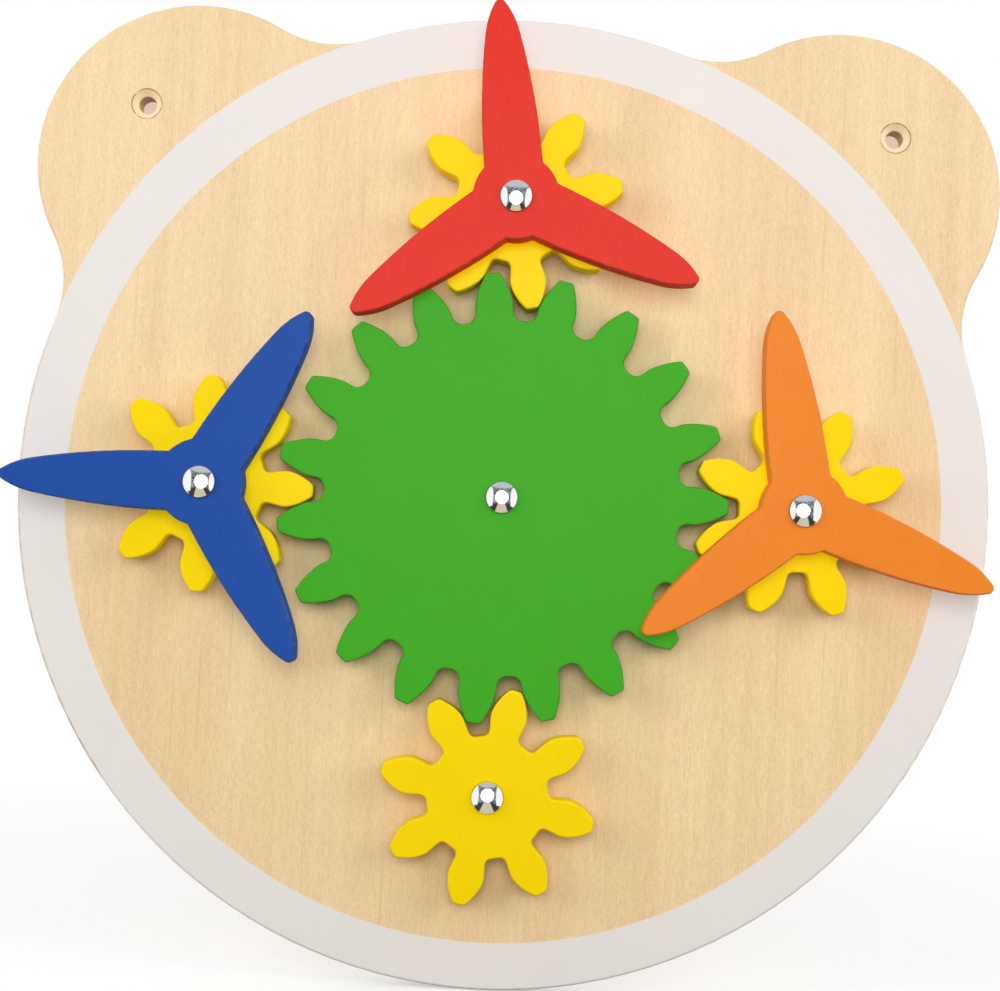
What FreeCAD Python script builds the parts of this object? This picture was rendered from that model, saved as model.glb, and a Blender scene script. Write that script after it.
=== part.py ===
import FreeCAD, Part
import math
import os
import Sketcher

# Wall-mounted wooden gear board, in millimetres.
#
# A plywood board in the shape of a disc with two round ears carries one large gear and four
# small ones that mesh with it.  Three of the small gears carry a three-bladed propeller.  Each
# gear turns on a bush that a dome-headed bolt clamps to the board; the bolt's nut and washer
# sit in a recess in the board's back.
#
# Frame: X to the right and Z up as seen from the front, -Y towards the viewer.  The origin is
# on the board's back face, midway between the two wall screws.  Every piece is modelled lying
# on its back, with its own +Z towards the front, and its Placement stands it upright.

SIZES = [
    # board
    ("board_thickness", 10.0, "plywood board"),
    ("disc_radius", 188.0, "round part of the board, centred on the main axle"),
    ("ear_radius", 62.7, "round end of an ear"),
    ("ear_centre_x", 125.5, "ear centre beside the main axle"),
    ("ear_centre_z", 125.5, "ear centre above the main axle"),
    ("ear_blend_radius", 40.0, "hollow between ear and disc"),
    ("board_edge_round", 1.2, "rounding along the board's outline"),
    ("screw_spacing", 293.0, "between the two wall screws"),
    ("screw_line_height", 148.0, "wall screws above the main axle"),
    ("screw_hole_diameter", 7.0, "wall screw hole"),
    ("countersink_diameter", 11.8, "mouth of the wall screw hole"),
    ("countersink_angle", 90.0, "full angle in degrees"),
    # gears
    ("gear_module", 8.15, "cutting module of both gears"),
    ("pressure_angle", 20.0, "in degrees"),
    ("main_gear_teeth", 19, "large gear"),
    ("small_gear_teeth", 8, "small gears"),
    ("main_gear_shift", 0.6, "profile shift of the large gear, which thickens its teeth"),
    ("small_gear_shift", 1.25, "profile shift of the small gears, which thickens their teeth"),
    ("mesh_slack", 1.5, "axles set apart beyond close mesh"),
    ("main_tip_rise", 8.75, "large gear's tips beyond its pitch circle"),
    ("small_tip_rise", 8.8, "small gears' tips beyond their pitch circle"),
    ("main_root_drop", 9.45, "large gear's gullets inside its pitch circle"),
    ("small_root_drop", 9.5, "small gears' gullets inside their pitch circle"),
    ("main_tooth_waist", 13.1, "width of the large gear's teeth at the root"),
    ("small_tooth_waist", 12.5, "width of the small gear's teeth at the root"),
    ("main_gullet_round", 4.0, "corner radius in the large gear's gullets"),
    ("small_gullet_round", 2.5, "corner radius in the small gear's gullets"),
    ("main_tip_round", 1.4, "corner radius at the large gear's tooth tips"),
    ("small_tip_round", 1.8, "corner radius at the small gear's tooth tips"),
    ("main_gear_turn", 0.25, "resting turn of the large gear, in degrees"),
    ("top_gear_play", 0.7, "turn within the backlash at rest, in degrees"),
    ("left_gear_play", -0.7, "turn within the backlash at rest, in degrees"),
    ("right_gear_play", 0.7, "turn within the backlash at rest, in degrees"),
    ("bottom_gear_play", -0.7, "turn within the backlash at rest, in degrees"),
    ("gear_thickness", 9.0, "all gears"),
    ("wood_edge_round", 0.8, "rounding of gear and propeller edges"),
    # propellers
    ("blade_count", 3, "blades of a propeller"),
    ("propeller_radius", 75.8, "axle to blade tip"),
    ("propeller_thickness", 9.0, "all propellers"),
    ("hub_radius", 16.4, "round middle of a propeller"),
    ("blade_width", 22.2, "where a blade is widest"),
    ("blade_widest_at", 12.8, "from the axle"),
    ("blade_side_radius", 277.0, "long bow of a blade's side"),
    ("blade_shoulder_radius", 32.0, "tighter bow near the tip"),
    ("blade_tip_radius", 2.2, "round end of a blade"),
    ("blade_root_round", 1.5, "corner between blade and hub"),
    ("top_propeller_angle", 97.5, "first blade, in degrees from +X"),
    ("left_propeller_angle", 60.2, "first blade, in degrees from +X"),
    ("right_propeller_angle", 99.8, "first blade, in degrees from +X"),
    ("spacer_thickness", 1.0, "between small gear and propeller"),
    ("spacer_diameter", 26.0, "between small gear and propeller"),
    # axles
    ("bolt_diameter", 6.0, "axle bolt"),
    ("head_diameter", 12.0, "domed bolt head"),
    ("head_rim_height", 0.9, "straight edge of the bolt head"),
    ("head_dome_height", 2.3, "dome above that edge"),
    ("head_shoulder_round", 0.45, "corner between that edge and the dome"),
    ("bolt_end_length", 0.3, "bolt end beyond its nut"),
    ("bolt_end_chamfer", 0.5, "bevel of the bolt end"),
    ("bush_wall", 1.0, "axle bush"),
    ("bolt_clearance", 0.05, "radial, round the bolt"),
    ("running_clearance", 0.05, "radial, between bush and gear"),
    ("running_gap", 0.15, "along the axle, each side of what turns"),
    ("board_washer_diameter", 18.0, "washer between board and gear"),
    ("board_washer_thickness", 2.0, "washer between board and gear"),
    ("rear_washer_diameter", 12.0, "washer under the nut"),
    ("rear_washer_thickness", 1.2, "washer under the nut"),
    ("nut_width", 10.0, "across flats"),
    ("nut_height", 4.5, "hexagon nut"),
    ("nut_chamfer", 0.9, "bevel of the nut's corners, across"),
    ("nut_chamfer_drop", 0.45, "bevel of the nut's corners, along the axle"),
    ("nut_recess_diameter", 17.0, "recess in the board's back"),
    ("nut_recess_depth", 6.4, "recess in the board's back"),
]

# steps from the main axle, in axle spacings to the right and up
AXLES = {
    "centre": (0, 0),
    "top": (0, 1),
    "left": (-1, 0),
    "right": (1, 0),
    "bottom": (0, -1),
}
PROPELLERS = ("top", "left", "right")
FRONT = FreeCAD.Vector(0, 0, 1)
UPRIGHT = FreeCAD.Rotation(FreeCAD.Vector(1, 0, 0), 90)
FULL_TURN = 360
FLAT = 1e-4            # thickness below which an edge counts as flat
NEAR = 0.05            # distance within which two places count as the same
FLANK_STEPS = 5        # spans of the curve along a tooth's flank
FLANK_GRADING = 1.5    # draws the curve's points towards the tooth's root
TOOTH_OVERLAP = 2.0    # how far a tooth reaches into its gear's blank

document = FreeCAD.newDocument("GearBoard")


class Measure:
    """A value together with the sheet expression that gives it."""

    def __init__(self, value, text):
        self.value = value
        self.text = text

    def joined(self, sign, other, value):
        return Measure(value, f"({self.text} {sign} {other.text})")

    def __add__(self, other):
        return self.joined("+", other, self.value + other.value)

    def __sub__(self, other):
        return self.joined("-", other, self.value - other.value)

    def __mul__(self, factor):
        return Measure(self.value * factor, f"({self.text} * {factor})")

    def __truediv__(self, divisor):
        return Measure(self.value / divisor, f"({self.text} / {divisor})")

    def __neg__(self):
        return self * -1


def fill_sheet():
    """Write the driving dimensions and return them by name."""
    sheet = document.addObject("Spreadsheet::Sheet", "Sizes")
    for row, (alias, value, note) in enumerate(SIZES, start=1):
        sheet.set(f"A{row}", alias)
        sheet.set(f"B{row}", str(value))
        sheet.set(f"C{row}", note)
        sheet.setAlias(f"B{row}", alias)
    document.recompute()
    return {alias: Measure(float(sheet.get(alias)), f"Sizes.{alias}") for alias, _, _ in SIZES}


size = fill_sheet()
ZERO = Measure(0.0, "0")

# --- radii and heights that several pieces share -------------------------------------------

main_teeth = round(size["main_gear_teeth"].value)
small_teeth = round(size["small_gear_teeth"].value)
bolt_hole_radius = size["bolt_diameter"] / 2 + size["bolt_clearance"]
bush_radius = size["bolt_diameter"] / 2 + size["bolt_clearance"] + size["bush_wall"]
bore_radius = bush_radius + size["running_clearance"]
axle_spacing = (
    size["gear_module"] * ((main_teeth + small_teeth) / 2)
    + size["main_gear_shift"]
    + size["small_gear_shift"]
    + size["mesh_slack"]
)
main_axle_z = -size["screw_line_height"]

# heights in front of the board's back face
recess_floor = size["nut_recess_depth"]
nut_front = recess_floor - size["rear_washer_thickness"]
nut_back = nut_front - size["nut_height"]
bolt_end = nut_back - size["bolt_end_length"]
board_front = size["board_thickness"]
bush_back = board_front + size["board_washer_thickness"]
gear_back = bush_back + size["running_gap"]
gear_front = gear_back + size["gear_thickness"]
propeller_back = gear_front + size["spacer_thickness"]
propeller_front = propeller_back + size["propeller_thickness"]


def axle_position(axle):
    """X and Z of an axle."""
    right, up = AXLES[axle]
    return axle_spacing * right, main_axle_z + axle_spacing * up


def head_back(axle):
    """Height of the underside of an axle's bolt head."""
    front = propeller_front if axle in PROPELLERS else gear_front
    return front + size["running_gap"]


# --- building blocks -----------------------------------------------------------------------


def bind(owner, property_name, measure):
    """Set a property and tie it to the sheet."""
    setattr(owner, property_name, measure.value)
    owner.setExpression(property_name, measure.text)


def new_body(label, x, z, height, turn=0.0):
    """A body that stands upright at x, z, with its back at a height in front of the board's back."""
    body = document.addObject("PartDesign::Body", label)
    body.Label = label
    base = FreeCAD.Vector(x.value, -height.value, z.value)
    body.Placement = FreeCAD.Placement(base, UPRIGHT * FreeCAD.Rotation(FRONT, turn))
    body.setExpression("Placement.Base.x", x.text)
    body.setExpression("Placement.Base.y", (-height).text)
    body.setExpression("Placement.Base.z", z.text)
    return body


def origin_feature(body, role):
    return next(item for item in body.Origin.OriginFeatures if item.Role == role)


def new_sketch(body, name, plane="XY_Plane", height=ZERO):
    sketch = body.newObject("Sketcher::SketchObject", name)
    sketch.AttachmentSupport = [(origin_feature(body, plane), "")]
    sketch.MapMode = "FlatFace"
    sketch.AttachmentOffset = FreeCAD.Placement(FRONT * height.value, FreeCAD.Rotation())
    sketch.setExpression("AttachmentOffset.Base.z", height.text)
    return sketch


def constrain(sketch, kind, where, measure):
    """Add a dimension to a sketch and tie it to the sheet."""
    index = sketch.addConstraint(Sketcher.Constraint(kind, *where, measure.value))
    sketch.setExpression(f"Constraints[{index}]", measure.text)


def pin_point(sketch, geometry, point, x, y):
    """Hold a point of a sketch at x, y from its origin."""
    for kind, axis, measure in (("DistanceX", -2, x), ("DistanceY", -1, y)):
        if measure is ZERO:
            sketch.addConstraint(Sketcher.Constraint("PointOnObject", geometry, point, axis))
        else:
            constrain(sketch, kind, (-1, 1, geometry, point), measure)


def add_circle(sketch, radius, x=ZERO, y=ZERO):
    centre = FreeCAD.Vector(x.value, y.value, 0)
    circle = sketch.addGeometry(Part.Circle(centre, FRONT, radius.value))
    pin_point(sketch, circle, 3, x, y)
    constrain(sketch, "Radius", (circle,), radius)


def add_loop(sketch, corners):
    """A closed loop of straight lines through corners, each held at its x and y."""
    points = [FreeCAD.Vector(x.value, y.value, 0) for x, y in corners]
    lines = []
    for start, end in zip(points, points[1:] + points[:1]):
        lines.append(sketch.addGeometry(Part.LineSegment(start, end)))
    for line, following in zip(lines, lines[1:] + lines[:1]):
        sketch.addConstraint(Sketcher.Constraint("Coincident", line, 2, following, 1))
    for line, (x, y) in zip(lines, corners):
        pin_point(sketch, line, 1, x, y)


def join_tangent(sketch, first, second):
    """Join the ends of two curves that already meet, and keep them tangent."""
    ends = [(i, j) for i in (1, 2) for j in (1, 2)]
    gap = {pair: sketch.getPoint(first, pair[0]).distanceToPoint(sketch.getPoint(second, pair[1]))
           for pair in ends}
    i, j = min(gap, key=gap.get)
    sketch.addConstraint(Sketcher.Constraint("Tangent", first, i, second, j))


def add_pad(body, sketch, name, length):
    pad = body.newObject("PartDesign::Pad", name)
    pad.Profile = sketch
    bind(pad, "Length", length)
    document.recompute()
    return pad


def add_bore(body, name, radius, thickness):
    """A round hole right through a piece that lies on its back."""
    sketch = new_sketch(body, f"{name}Circle")
    add_circle(sketch, radius)
    pocket = body.newObject("PartDesign::Pocket", name)
    pocket.Profile = sketch
    pocket.Reversed = True
    bind(pocket, "Length", thickness)
    document.recompute()


def add_pattern(body, feature, name, count):
    """Repeat a feature round the body's own axis."""
    pattern = body.newObject("PartDesign::PolarPattern", name)
    pattern.Originals = [feature]
    pattern.Axis = (origin_feature(body, "Z_Axis"), [""])
    pattern.Angle = FULL_TURN
    bind(pattern, "Occurrences", Measure(round(count.value), count.text))
    body.Tip = pattern
    document.recompute()
    return pattern


def edge_names(feature, wanted):
    """Names of the edges of a feature that pass a test."""
    return [f"Edge{number}" for number, edge in enumerate(feature.Shape.Edges, start=1) if wanted(edge)]


def is_flat(edge):
    """True for an edge of the front or back outline."""
    return edge.BoundBox.ZLength < FLAT


def is_flat_at(height):
    """A test for flat edges at a height."""
    def wanted(edge):
        return is_flat(edge) and abs(edge.BoundBox.ZMax - height.value) < NEAR
    return wanted


def is_upright_at(radius):
    """A test for straight edges along the thickness at a radius from the body's axis."""
    def wanted(edge):
        box = edge.BoundBox
        upright = box.XLength < FLAT and box.YLength < FLAT
        return upright and abs(math.hypot(box.Center.x, box.Center.y) - radius.value) < NEAR
    return wanted


def add_fillet(body, base, name, radius, wanted):
    """Round the edges of a feature that pass a test."""
    fillet = body.newObject("PartDesign::Fillet", name)
    fillet.Base = (base, edge_names(base, wanted))
    bind(fillet, "Radius", radius)
    body.Tip = fillet
    document.recompute()
    return fillet


def add_ring(label, axle, height, outer_radius, inner_radius, thickness):
    """A flat ring or tube round an axle."""
    body = new_body(label, *axle_position(axle), height)
    sketch = new_sketch(body, "Ring")
    add_circle(sketch, outer_radius)
    add_circle(sketch, inner_radius)
    add_pad(body, sketch, "Thickness", thickness)
    return body


# --- board ---------------------------------------------------------------------------------


def polar_point(centre, radius, angle):
    return centre + FreeCAD.Vector(math.cos(angle), math.sin(angle), 0) * radius


def direction(start, end):
    return math.atan2(end.y - start.y, end.x - start.x)


def arc_between(centre, radius, start, end):
    """The arc that runs anticlockwise from one direction to another."""
    return Part.ArcOfCircle(Part.Circle(centre, FRONT, radius), start, start + (end - start) % math.tau)


def short_arc(centre, radius, first, second):
    """The arc of less than half a turn between two directions."""
    if (second - first) % math.tau > math.pi:
        first, second = second, first
    return arc_between(centre, radius, first, second)


def blend_centres(disc_centre, ear_centre):
    """Centres of the two hollows that join an ear to the disc, the outer one first."""
    to_disc = size["disc_radius"].value + size["ear_blend_radius"].value
    to_ear = size["ear_radius"].value + size["ear_blend_radius"].value
    apart = disc_centre.distanceToPoint(ear_centre)
    spread = math.acos((to_disc**2 + apart**2 - to_ear**2) / (2 * to_disc * apart))
    towards_ear = direction(disc_centre, ear_centre)
    side = 1 if ear_centre.x > 0 else -1
    return [polar_point(disc_centre, to_disc, towards_ear + turn * side) for turn in (-spread, spread)]


def ear_outline(disc, ear):
    """An ear's outer hollow, round end and inner hollow, and the hollows' directions from the disc."""
    blend_radius = size["ear_blend_radius"].value
    outer, inner = blend_centres(disc, ear)
    start, end = direction(ear, outer), direction(ear, inner)
    if ear.x < 0:
        start, end = end, start
    arcs = [
        short_arc(outer, blend_radius, direction(outer, disc), direction(outer, ear)),
        arc_between(ear, size["ear_radius"].value, start, end),
        short_arc(inner, blend_radius, direction(inner, ear), direction(inner, disc)),
    ]
    return arcs, direction(disc, outer), direction(disc, inner)


def draw_board_outline(sketch):
    """Disc, two ears and four hollows: eight arcs, each tangent to the next."""
    ear_x = size["ear_centre_x"]
    ear_z = main_axle_z + size["ear_centre_z"]
    disc_radius = size["disc_radius"].value
    disc = FreeCAD.Vector(0, main_axle_z.value, 0)
    right, right_low, right_high = ear_outline(disc, FreeCAD.Vector(ear_x.value, ear_z.value, 0))
    left, left_low, left_high = ear_outline(disc, FreeCAD.Vector(-ear_x.value, ear_z.value, 0))
    bottom_arc = arc_between(disc, disc_radius, left_low, right_low)
    top_arc = arc_between(disc, disc_radius, right_high, left_high)
    arcs = [sketch.addGeometry(arc) for arc in (bottom_arc, *right, top_arc, *reversed(left))]
    for arc, following in zip(arcs, arcs[1:] + arcs[:1]):
        join_tangent(sketch, arc, following)
    bottom, right_outer, right_ear, right_inner, top, left_inner, left_ear, left_outer = arcs
    for arc in (bottom, top):
        constrain(sketch, "Radius", (arc,), size["disc_radius"])
    for arc in (right_outer, right_inner, left_inner, left_outer):
        constrain(sketch, "Radius", (arc,), size["ear_blend_radius"])
    pin_point(sketch, bottom, 3, ZERO, main_axle_z)
    sketch.addConstraint(Sketcher.Constraint("Coincident", top, 3, bottom, 3))
    for arc, x in ((right_ear, ear_x), (left_ear, -ear_x)):
        constrain(sketch, "Radius", (arc,), size["ear_radius"])
        pin_point(sketch, arc, 3, x, ear_z)


def add_hole(body, sketch, name, diameter, cut_type, cut_diameter):
    """A through hole with a wider mouth in the sketch's plane."""
    document.recompute()
    hole = body.newObject("PartDesign::Hole", name)
    hole.Profile = sketch
    document.recompute()
    hole.DepthType = "ThroughAll"
    bind(hole, "Diameter", diameter)
    hole.HoleCutType = cut_type
    hole.HoleCutCustomValues = True
    bind(hole, "HoleCutDiameter", cut_diameter)
    return hole


def make_backboard():
    body = new_body("backboard", ZERO, ZERO, ZERO)
    outline = new_sketch(body, "Outline")
    draw_board_outline(outline)
    panel = add_pad(body, outline, "Panel", board_front)
    rounded = add_fillet(body, panel, "EdgeRound", size["board_edge_round"], is_flat)

    screws = new_sketch(body, "ScrewCentres", height=board_front)
    for screw_x in (size["screw_spacing"] / 2, -size["screw_spacing"] / 2):
        add_circle(screws, size["screw_hole_diameter"] / 2, x=screw_x)
    hole = add_hole(body, screws, "ScrewHoles", size["screw_hole_diameter"],
                    "Countersink", size["countersink_diameter"])
    bind(hole, "HoleCutCountersinkAngle", size["countersink_angle"])
    document.recompute()

    axles = new_sketch(body, "AxleCentres")
    for axle in AXLES:
        x, z = axle_position(axle)
        add_circle(axles, bolt_hole_radius, x=x if AXLES[axle][0] else ZERO, y=z)
    hole = add_hole(body, axles, "AxleHoles", bolt_hole_radius * 2,
                    "Counterbore", size["nut_recess_diameter"])
    bind(hole, "HoleCutDepth", size["nut_recess_depth"])
    hole.Reversed = True
    document.recompute()
    if not rounded.Shape.Volume > body.Shape.Volume:
        raise RuntimeError("the board's holes cut nothing")
    return body


# --- gears ---------------------------------------------------------------------------------


def involute(angle):
    return math.tan(angle) - angle


def tooth_flank(kind, root_radius, tip_radius):
    """Points on one flank of a tooth that lies along +X, from inside the blank to the tip."""
    teeth = round(size[f"{kind}_gear_teeth"].value)
    waist = size[f"{kind}_tooth_waist"].value
    shift = size[f"{kind}_gear_shift"].value
    pressure = math.radians(size["pressure_angle"].value)
    module = size["gear_module"].value
    base_radius = module * teeth / 2 * math.cos(pressure)
    half_angle = (math.pi / 2 + 2 * shift / module * math.tan(pressure)) / teeth + involute(pressure)
    points = [FreeCAD.Vector(root_radius - TOOTH_OVERLAP, waist / 2, 0)]
    for step in range(FLANK_STEPS + 1):
        part_way = (step / FLANK_STEPS) ** FLANK_GRADING
        radius = base_radius + (tip_radius - base_radius) * part_way
        angle = half_angle - involute(math.acos(base_radius / radius))
        points.append(polar_point(FreeCAD.Vector(), radius, angle))
    return points


def draw_tooth(sketch, points, tip_radius):
    """A tooth's two flanks, its tip arc and a line inside the blank."""
    mirrored = [FreeCAD.Vector(point.x, -point.y, 0) for point in points]
    for flank in (points, mirrored):
        curve = Part.BSplineCurve()
        curve.interpolate(flank)
        sketch.addGeometry(curve)
    tip = FreeCAD.Vector(tip_radius, 0, 0)
    sketch.addGeometry(Part.Arc(points[-1], tip, mirrored[-1]))
    sketch.addGeometry(Part.LineSegment(mirrored[0], points[0]))


def make_gear(kind, label, axle, turn):
    """A flat wooden gear of the main or the small kind, with rounded gullets, tips and edges."""
    teeth = size[f"{kind}_gear_teeth"]
    pitch_radius = size["gear_module"] * (round(teeth.value) / 2)
    root_radius = pitch_radius - size[f"{kind}_root_drop"]
    tip_radius = pitch_radius + size[f"{kind}_tip_rise"]
    body = new_body(label, *axle_position(axle), gear_back, turn)
    blank = new_sketch(body, "BlankCircle")
    add_circle(blank, root_radius)
    add_pad(body, blank, "Blank", size["gear_thickness"])
    tooth = new_sketch(body, "ToothOutline")
    draw_tooth(tooth, tooth_flank(kind, root_radius.value, tip_radius.value), tip_radius.value)
    tooth_pad = add_pad(body, tooth, "Tooth", size["gear_thickness"])
    teeth_ring = add_pattern(body, tooth_pad, "Teeth", teeth)
    gullet_edges = is_upright_at(root_radius)
    gullets = add_fillet(body, teeth_ring, "GulletRound", size[f"{kind}_gullet_round"], gullet_edges)
    tips = add_fillet(body, gullets, "TipRound", size[f"{kind}_tip_round"], is_upright_at(tip_radius))
    add_fillet(body, tips, "EdgeRound", size["wood_edge_round"], is_flat)
    add_bore(body, "Bore", bore_radius, size["gear_thickness"])
    return body


def meshing_turn(axle):
    """Turn that sets a small gear between the main gear's teeth, in degrees."""
    right, up = AXLES[axle]
    bearing = math.degrees(math.atan2(up, right))
    small_pitch = FULL_TURN / small_teeth
    towards_main = bearing + FULL_TURN / 2
    main_pitches_passed = (bearing - size["main_gear_turn"].value) / (FULL_TURN / main_teeth)
    in_mesh = (towards_main - small_pitch * (1 / 2 - main_pitches_passed)) % small_pitch
    return in_mesh + size[f"{axle}_gear_play"].value


def make_main_gear():
    return make_gear("main", "main_gear", "centre", size["main_gear_turn"].value)


def make_small_gear(axle):
    return make_gear("small", f"small_gear_{axle}", axle, meshing_turn(axle))


# --- propellers ----------------------------------------------------------------------------


def mirrored(point, side):
    """The point itself for side 1, its mirror image across X for side -1."""
    return FreeCAD.Vector(point.x, point.y * side, 0)


def blade_arc_centres():
    """Centres of the long bow, the shoulder and the tip on a blade's upper side."""
    bow_radius = size["blade_side_radius"].value
    shoulder_radius = size["blade_shoulder_radius"].value
    tip_radius = size["blade_tip_radius"].value
    bow = FreeCAD.Vector(size["blade_widest_at"].value, size["blade_width"].value / 2 - bow_radius, 0)
    tip = FreeCAD.Vector(size["propeller_radius"].value - tip_radius, 0, 0)
    to_bow = bow_radius - shoulder_radius
    to_tip = shoulder_radius - tip_radius
    apart = tip.distanceToPoint(bow)
    lean = math.acos((to_bow**2 + apart**2 - to_tip**2) / (2 * to_bow * apart))
    return bow, polar_point(bow, to_bow, direction(bow, tip) + lean), tip


def draw_blade(sketch):
    """A blade along +X: straight at the root, then a long bow, a tighter one and a round tip."""
    half_width = size["blade_width"] / 2
    widest_x = size["blade_widest_at"]
    bow_centre, shoulder_centre, tip_centre = blade_arc_centres()
    bow_end = direction(bow_centre, shoulder_centre)
    shoulder_end = direction(shoulder_centre, tip_centre)
    tip = sketch.addGeometry(arc_between(
        tip_centre, size["blade_tip_radius"].value, -shoulder_end, shoulder_end))
    root = sketch.addGeometry(Part.LineSegment(
        FreeCAD.Vector(0, -half_width.value, 0), FreeCAD.Vector(0, half_width.value, 0)))
    for side, root_end in ((1, 2), (-1, 1)):
        widest = FreeCAD.Vector(widest_x.value, half_width.value * side, 0)
        edge = sketch.addGeometry(Part.LineSegment(FreeCAD.Vector(0, widest.y, 0), widest))
        bow = sketch.addGeometry(short_arc(mirrored(bow_centre, side), size["blade_side_radius"].value,
                                           math.pi / 2 * side, bow_end * side))
        shoulder = sketch.addGeometry(short_arc(
            mirrored(shoulder_centre, side), size["blade_shoulder_radius"].value,
            bow_end * side, shoulder_end * side))
        sketch.addConstraint(Sketcher.Constraint("Coincident", edge, 1, root, root_end))
        sketch.addConstraint(Sketcher.Constraint("Horizontal", edge))
        pin_point(sketch, edge, 2, widest_x, half_width * side)
        join_tangent(sketch, edge, bow)
        join_tangent(sketch, bow, shoulder)
        join_tangent(sketch, shoulder, tip)
        constrain(sketch, "Radius", (bow,), size["blade_side_radius"])
        constrain(sketch, "Radius", (shoulder,), size["blade_shoulder_radius"])
        sketch.addConstraint(Sketcher.Constraint("PointOnObject", root, root_end, -2))
    pin_point(sketch, tip, 3, size["propeller_radius"] - size["blade_tip_radius"], ZERO)
    constrain(sketch, "Radius", (tip,), size["blade_tip_radius"])


def make_propeller(axle):
    turn = size[f"{axle}_propeller_angle"].value
    body = new_body(f"propeller_{axle}", *axle_position(axle), propeller_back, turn)
    hub = new_sketch(body, "HubCircle")
    add_circle(hub, size["hub_radius"])
    add_pad(body, hub, "Hub", size["propeller_thickness"])
    blade = new_sketch(body, "BladeOutline")
    draw_blade(blade)
    blade_pad = add_pad(body, blade, "Blade", size["propeller_thickness"])
    blades = add_pattern(body, blade_pad, "Blades", size["blade_count"])
    roots = add_fillet(body, blades, "RootRound", size["blade_root_round"],
                       is_upright_at(size["hub_radius"]))
    add_fillet(body, roots, "EdgeRound", size["wood_edge_round"], is_flat)
    add_bore(body, "Bore", bore_radius, size["propeller_thickness"])
    return body


def make_spacer(axle):
    """Disc that lifts a propeller clear of the main gear's face."""
    return add_ring(f"propeller_spacer_{axle}", axle, gear_front,
                    size["spacer_diameter"] / 2, bore_radius, size["spacer_thickness"])


# --- axle hardware -------------------------------------------------------------------------


def make_board_washer(axle):
    return add_ring(f"board_washer_{axle}", axle, board_front,
                    size["board_washer_diameter"] / 2, bolt_hole_radius, size["board_washer_thickness"])


def make_bush(axle):
    """Tube that the gear turns on, clamped between board washer and bolt head."""
    return add_ring(f"axle_bush_{axle}", axle, bush_back,
                    bush_radius, bolt_hole_radius, head_back(axle) - bush_back)


def make_bolt(axle):
    """Dome-headed bolt, turned about its own axis."""
    body = new_body(f"axle_bolt_{axle}", *axle_position(axle), ZERO)
    shank_radius = size["bolt_diameter"] / 2
    head_radius = size["head_diameter"] / 2
    underside = head_back(axle)
    rim = underside + size["head_rim_height"]
    crown = rim + size["head_dome_height"]

    shank = new_sketch(body, "ShankCircle", height=bolt_end)
    add_circle(shank, shank_radius)
    shank_pad = add_pad(body, shank, "Shank", underside - bolt_end)
    bevel = body.newObject("PartDesign::Chamfer", "EndBevel")
    bevel.Base = (shank_pad, edge_names(shank_pad, is_flat_at(bolt_end)))
    bind(bevel, "Size", size["bolt_end_chamfer"])
    document.recompute()

    profile = new_sketch(body, "HeadProfile", plane="XZ_Plane")
    half, dome = head_radius.value, size["head_dome_height"].value
    sphere_radius = (half**2 + dome**2) / (2 * dome)
    centre = FreeCAD.Vector(0, crown.value - sphere_radius, 0)
    corners = [(ZERO, underside), (head_radius, underside), (head_radius, rim), (ZERO, crown)]
    points = [FreeCAD.Vector(x.value, y.value, 0) for x, y in corners]
    rim_angle = math.atan2(rim.value - centre.y, half)
    base = profile.addGeometry(Part.LineSegment(points[0], points[1]))
    edge = profile.addGeometry(Part.LineSegment(points[1], points[2]))
    arc = profile.addGeometry(Part.ArcOfCircle(
        Part.Circle(centre, FRONT, sphere_radius), rim_angle, math.pi / 2))
    axis = profile.addGeometry(Part.LineSegment(points[3], points[0]))
    for first, second in ((base, edge), (edge, arc), (arc, axis), (axis, base)):
        profile.addConstraint(Sketcher.Constraint("Coincident", first, 2, second, 1))
    for line, (x, y) in zip((base, edge, arc, axis), corners):
        pin_point(profile, line, 1, x, y)
    profile.addConstraint(Sketcher.Constraint("PointOnObject", arc, 3, -2))
    head = body.newObject("PartDesign::Revolution", "Head")
    head.Profile = profile
    head.ReferenceAxis = (profile, ["V_Axis"])
    head.Angle = FULL_TURN
    document.recompute()
    add_fillet(body, head, "ShoulderRound", size["head_shoulder_round"], is_flat_at(rim))
    return body


def make_rear_washer(axle):
    return add_ring(f"rear_washer_{axle}", axle, nut_front,
                    size["rear_washer_diameter"] / 2, bolt_hole_radius, size["rear_washer_thickness"])


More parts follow.
